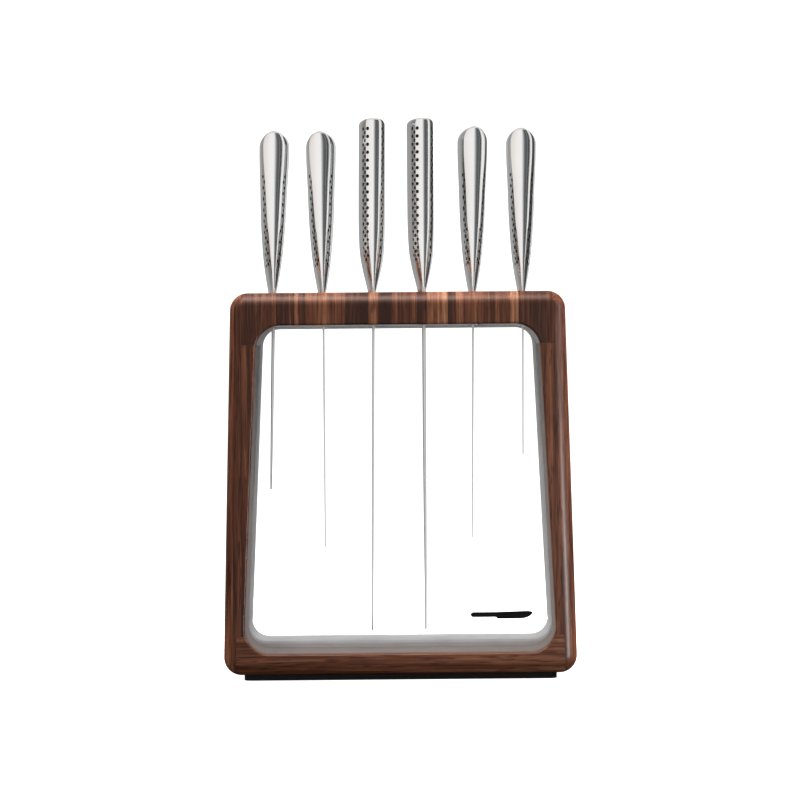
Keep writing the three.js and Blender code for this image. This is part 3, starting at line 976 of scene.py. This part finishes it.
def walnut(name, grain, tone=None):
    """Walnut with its grain along one axis or two. Tone adds to how light it is: the top rail's staves
    have their own tones, and the bottom rail's lift is a painted sheen.
    """
    nodes = Nodes(name)
    figure = nodes.noise(scales(grain, 48, 3.5), detail=3, distortion=0.9)
    rings = nodes.noise(scales(grain, 290, 6), detail=3, roughness=0.65, distortion=0.4, offset=(3, 5, 7))
    fibres = nodes.noise(scales(grain, 1000, 22), detail=2, roughness=0.7, offset=(1, 8, 2))
    pores = nodes.noise(scales(grain, 1100, 70), detail=1, offset=(9, 2, 4))
    value = nodes.math("MULTIPLY_ADD", figure, 0.28, -0.1)
    value = nodes.math("MULTIPLY_ADD", rings, 0.6, value)
    value = nodes.math("MULTIPLY_ADD", fibres, 0.4, value)
    if tone:
        value = nodes.math("ADD", value, tone(nodes))
    colour = nodes.ramp(
        value,
        [
            (0.38, (0.028, 0.0075, 0.003)),
            (0.5, (0.068, 0.0205, 0.009)),
            (0.6, (0.135, 0.045, 0.0195)),
            (0.7, (0.23, 0.094, 0.046)),
            (0.84, (0.38, 0.195, 0.1)),
        ],
    )
    dark = nodes.ramp(pores, [(0.58, (1, 1, 1)), (0.68, (0.45, 0.4, 0.37))])
    depth = nodes.math("SUBTRACT", nodes.math("MULTIPLY", fibres, 0.6), nodes.math("MULTIPLY", pores, 0.5))
    nodes.surface(
        Base_Color=nodes.mix(1.0, colour, dark, "MULTIPLY"),
        Roughness=nodes.math("MULTIPLY_ADD", fibres, 0.2, 0.3),
        Specular_IOR_Level=0.14,
        Normal=nodes.bump(depth, 0.35, 0.00012),
    )
    return nodes.material


# Where each stave or stripe of the top rail begins, from the left, and how light it is.
STAVES = [
    (-118.4, -0.02),
    (-81.4, -0.07),
    (-69.3, 0.12),
    (-66.6, -0.03),
    (-56.2, 0.06),
    (-35.7, -0.15),
    (-19.8, 0.09),
    (-13.2, -0.09),
    (4.2, 0.0),
    (12.9, -0.09),
    (18.9, 0.12),
    (32.9, -0.08),
    (38.3, 0.07),
    (61, -0.06),
    (75.2, 0.12),
    (80, -0.09),
    (102.9, 0.04),
]


def laminated_walnut():
    """Staves side by side: each has its own tone, and their joints are nearly planes across X."""

    def stave_tone(nodes):
        place = nodes.add("ShaderNodeTexCoord").outputs["Object"]
        x = nodes.add("ShaderNodeSeparateXYZ", {0: place}).outputs["X"]
        waver = nodes.noise((20, 12, 12), detail=3, roughness=0.7)
        x = nodes.math("MULTIPLY_ADD", waver, 1.6 * MM, nodes.math("SUBTRACT", x, 0.8 * MM))
        width = 2 * OUTSIDE["half_low"] * MM
        share = nodes.math("MULTIPLY_ADD", x, 1 / width, 0.5)
        stops = [(start * MM / width + 0.5, (0.5 + tone,) * 3) for start, tone in STAVES]
        return nodes.math("SUBTRACT", nodes.ramp(share, stops, "CONSTANT"), 0.5)

    return walnut("laminated_walnut", "YZ", stave_tone)


def satin_plastic(name, colour):
    nodes = Nodes(name)
    grain = nodes.noise((900, 900, 900), detail=2)
    cloud = nodes.noise((40, 40, 40), detail=2)
    dark = tuple(part * 0.92 for part in colour)
    light = tuple(part * 1.06 for part in colour)
    shade = nodes.shade(cloud, dark, light)
    bump = nodes.bump(grain, 0.08, 0.00005)
    nodes.surface(Base_Color=shade, Roughness=0.5, Specular_IOR_Level=0.25, Normal=bump)
    return nodes.material


def clear_acrylic():
    """A clear sheet with a coating against reflections: light goes straight through it."""
    nodes = Nodes("clear_window")
    tree = nodes.tree
    tree.nodes.remove(nodes.shader)
    output = tree.nodes["Material Output"]
    through = nodes.add("ShaderNodeBsdfTransparent", {"Color": (0.995, 0.995, 0.995, 1)})
    haze = nodes.noise((12, 12, 12), detail=2)
    rough = nodes.shade(haze, (0.02, 0.02, 0.02), (0.05, 0.05, 0.05))
    gloss = nodes.add("ShaderNodeBsdfGlossy", {"Color": (1, 1, 1, 1), "Roughness": rough})
    fresnel = nodes.add("ShaderNodeFresnel", {"IOR": 1.45}).outputs[0]
    coated = nodes.math("MULTIPLY", fresnel, 0.3)
    mix = nodes.add("ShaderNodeMixShader", {0: coated, 1: through.outputs[0], 2: gloss.outputs[0]})
    tree.links.new(mix.outputs[0], output.inputs["Surface"])
    return nodes.material


def satin_steel(name, roughness):
    nodes = Nodes(name)
    strokes = nodes.noise((60, 60, 5200), detail=2, roughness=0.7)
    cloud = nodes.noise((50, 50, 30), detail=2)
    rough = nodes.math("ADD", nodes.math("MULTIPLY", strokes, 0.1), nodes.math("MULTIPLY", cloud, 0.04))
    rough = nodes.math("ADD", rough, roughness - 0.07)
    tint = nodes.shade(cloud, (0.84, 0.835, 0.825), (0.9, 0.895, 0.885))
    nodes.surface(
        Base_Color=tint,
        Metallic=1.0,
        Roughness=rough,
        Normal=nodes.bump(strokes, 0.06, 0.00002),
    )
    return nodes.material


def dimple_black():
    nodes = Nodes("dimple_black")
    grain = nodes.noise((2500, 2500, 2500), detail=2)
    shade = nodes.shade(grain, (0.004, 0.004, 0.004), (0.012, 0.011, 0.011))
    nodes.surface(Base_Color=shade, Roughness=0.6)
    return nodes.material


def foot_rubber(name="foot_rubber"):
    nodes = Nodes(name)
    grain = nodes.noise((1800, 1800, 1800), detail=2)
    shade = nodes.shade(grain, (0.006, 0.006, 0.006), (0.015, 0.015, 0.015))
    bump = nodes.bump(grain, 0.2, 0.0001)
    nodes.surface(Base_Color=shade, Roughness=0.8, Specular_IOR_Level=0.1, Normal=bump)
    return nodes.material


def plain_beech():
    nodes = Nodes("dowel_beech")
    grain = nodes.noise((40, 900, 900), detail=2)
    shade = nodes.shade(grain, (0.5, 0.34, 0.2), (0.62, 0.44, 0.27))
    nodes.surface(Base_Color=shade, Roughness=0.7, Normal=nodes.bump(grain, 0.2, 0.0001))
    return nodes.material


def quartz_sand():
    nodes = Nodes("quartz_sand")
    grain = nodes.noise((2600, 2600, 2600), detail=2, roughness=0.8)
    shade = nodes.shade(grain, (0.3, 0.24, 0.16), (0.66, 0.58, 0.44))
    nodes.surface(Base_Color=shade, Roughness=0.95, Normal=nodes.bump(grain, 0.8, 0.0003))
    return nodes.material


# ---- Studio ----


def area_light(name, place, target, size, power, colour=(1, 1, 1)):
    light = bpy.data.lights.new(name, "AREA")
    light.shape = "RECTANGLE"
    light.size, light.size_y = size
    light.energy = power
    light.color = colour
    lamp = bpy.data.objects.new(name, light)
    lamp.location = place
    lamp.rotation_euler = (Vector(target) - Vector(place)).to_track_quat("-Z", "Y").to_euler()
    lamp.visible_camera = False
    lamp.visible_glossy = False
    bpy.context.scene.collection.objects.link(lamp)
    return lamp


def light_only_wood(*lamps):
    """Lets lamps shine on the wooden pieces alone, and shows their reflections there."""
    wood = bpy.data.collections.new("wood")
    for piece in bpy.data.objects:
        if piece.name.startswith("walnut_"):
            wood.objects.link(piece)
    for lamp in lamps:
        lamp.light_linking.receiver_collection = wood
        lamp.visible_glossy = True


def make_lights():
    centre = (0, 0, 0.2)
    warm = (1, 0.84, 0.75)
    area_light("top_softbox", (-0.05, 0.05, 0.75), centre, (0.5, 0.3), 11)
    area_light("left_softbox", (-0.8, 0.1, 0.3), centre, (0.3, 0.6), 4)
    area_light("right_softbox", (0.8, 0, 0.35), centre, (0.3, 0.6), 4.5)
    side = area_light("right_wood_softbox", (0.7, -0.25, 0.45), centre, (0.3, 0.4), 5, warm)
    sheen = area_light("overhead_card", (-0.12, -0.3, 0.85), centre, (0.7, 0.4), 19, warm)
    streak = area_light("low_right_card", (0.45, -0.45, 0.045), (0.115, -0.05, 0.06), (0.06, 0.16), 7)
    light_only_wood(side, sheen, streak)
    sheen.visible_diffuse = False
    streak.visible_diffuse = False


# What a polished surface mirrors, by bearing in degrees: 0 is the camera's side, positive is to the
# right. White cards stand at the left and the right, with dark gaps beside them.
STUDIO_BEARINGS = [
    (-180, (0.7, 0.72, 0.72)),
    (-166, (0.42, 0.43, 0.43)),
    (-140, (0.32, 0.32, 0.32)),
    (-112, (0.2, 0.19, 0.18)),
    (-92, (0.13, 0.1, 0.085)),
    (-77, (0.2, 0.1, 0.07)),
    (-71, (0.85, 0.78, 0.74)),
    (-30, (0.98, 0.97, 0.96)),
    (2, (0.98, 0.98, 0.98)),
    (12, (0.55, 0.56, 0.57)),
    (22, (0.16, 0.165, 0.17)),
    (38, (0.06, 0.06, 0.065)),
    (42, (0.3, 0.31, 0.33)),
    (46, (0.06, 0.06, 0.06)),
    (57, (0.04, 0.04, 0.04)),
    (60, (1.0, 1.0, 1.0)),
    (74, (1.0, 1.0, 1.0)),
    (78, (0.05, 0.05, 0.05)),
    (96, (0.2, 0.2, 0.2)),
    (120, (0.06, 0.06, 0.06)),
    (154, (0.08, 0.08, 0.08)),
    (160, (0.68, 0.7, 0.7)),
    (180, (0.68, 0.7, 0.7)),
]


def make_world():
    """White for the camera. For the rest, cards and gaps all round, pale above and dark below."""
    world = bpy.data.worlds.new("studio")
    bpy.context.scene.world = world
    world.use_nodes = True
    nodes = Nodes(tree=world.node_tree)
    seen = nodes.add("ShaderNodeBackground", {"Color": (1, 1, 1, 1), "Strength": 1.4})
    place = nodes.add("ShaderNodeTexCoord").outputs["Generated"]
    way = nodes.add("ShaderNodeSeparateXYZ", {0: place}).outputs
    bearing = nodes.math("ARCTAN2", way["X"], nodes.math("MULTIPLY", way["Y"], -1))
    share = nodes.math("MULTIPLY_ADD", bearing, 0.5 / math.pi, 0.5)
    stops = [((angle + 180) / 360, colour) for angle, colour in STUDIO_BEARINGS]
    cards = nodes.ramp(share, stops)
    above = nodes.add("ShaderNodeMapRange", {"Value": way["Z"], "From Min": 0.45, "From Max": 0.6})
    below = nodes.add("ShaderNodeMapRange", {"Value": way["Z"], "From Min": -0.3, "From Max": -0.6})
    blend = nodes.mix(above.outputs[0], cards, (0.75, 0.75, 0.75, 1))
    blend = nodes.mix(below.outputs[0], blend, (0.12, 0.12, 0.12, 1))
    mirrored = nodes.add("ShaderNodeBackground", {"Color": blend, "Strength": 1.0})
    path = nodes.add("ShaderNodeLightPath").outputs["Is Camera Ray"]
    both = nodes.add("ShaderNodeMixShader", {0: path, 1: mirrored.outputs[0], 2: seen.outputs[0]})
    output = world.node_tree.nodes["World Output"]
    world.node_tree.links.new(both.outputs[0], output.inputs["Surface"])


def make_floor():
    nodes = Nodes("studio_floor")
    cloud = nodes.noise((3, 3, 3), detail=1)
    shade = nodes.shade(cloud, (0.84, 0.84, 0.84), (0.88, 0.88, 0.88))
    nodes.surface(Base_Color=shade, Roughness=0.95, Emission_Color=(1, 1, 1, 1), Emission_Strength=1.0)
    reach = FLOOR["reach"]
    low = (-reach, -reach, -FLOOR["thickness"])
    floor = make_box("studio_floor", low, (reach, reach, 0), nodes.material)
    floor.visible_diffuse = False
    floor.visible_glossy = False
    floor.visible_shadow = False


def make_camera():
    """A long lens, a little above the middle of the block and turned as the picture was taken."""
    lens = bpy.data.cameras.new("camera")
    lens.sensor_width = 36
    lens.lens = CAMERA["lens"]
    camera = bpy.data.objects.new("camera", lens)
    y = -HALF_DEPTH * MM - CAMERA["distance"]
    place = Matrix.Translation((CAMERA["x"], y, CAMERA["height"]))
    pan = Matrix.Rotation(math.radians(CAMERA_TURN["pan"]), 4, "Z")
    tilt = Matrix.Rotation(math.radians(90 - CAMERA_TURN["tilt"]), 4, "X")
    roll = Matrix.Rotation(math.radians(CAMERA_TURN["roll"]), 4, "Z")
    camera.matrix_world = place @ pan @ tilt @ roll
    bpy.context.scene.collection.objects.link(camera)
    bpy.context.scene.camera = camera


make_camera()
make_world()
make_floor()
make_wood()
make_lights()
make_linings()
dress_cad_nodes()
make_mark()
make_knives()
bpy.context.scene.view_settings.view_transform = "Standard"
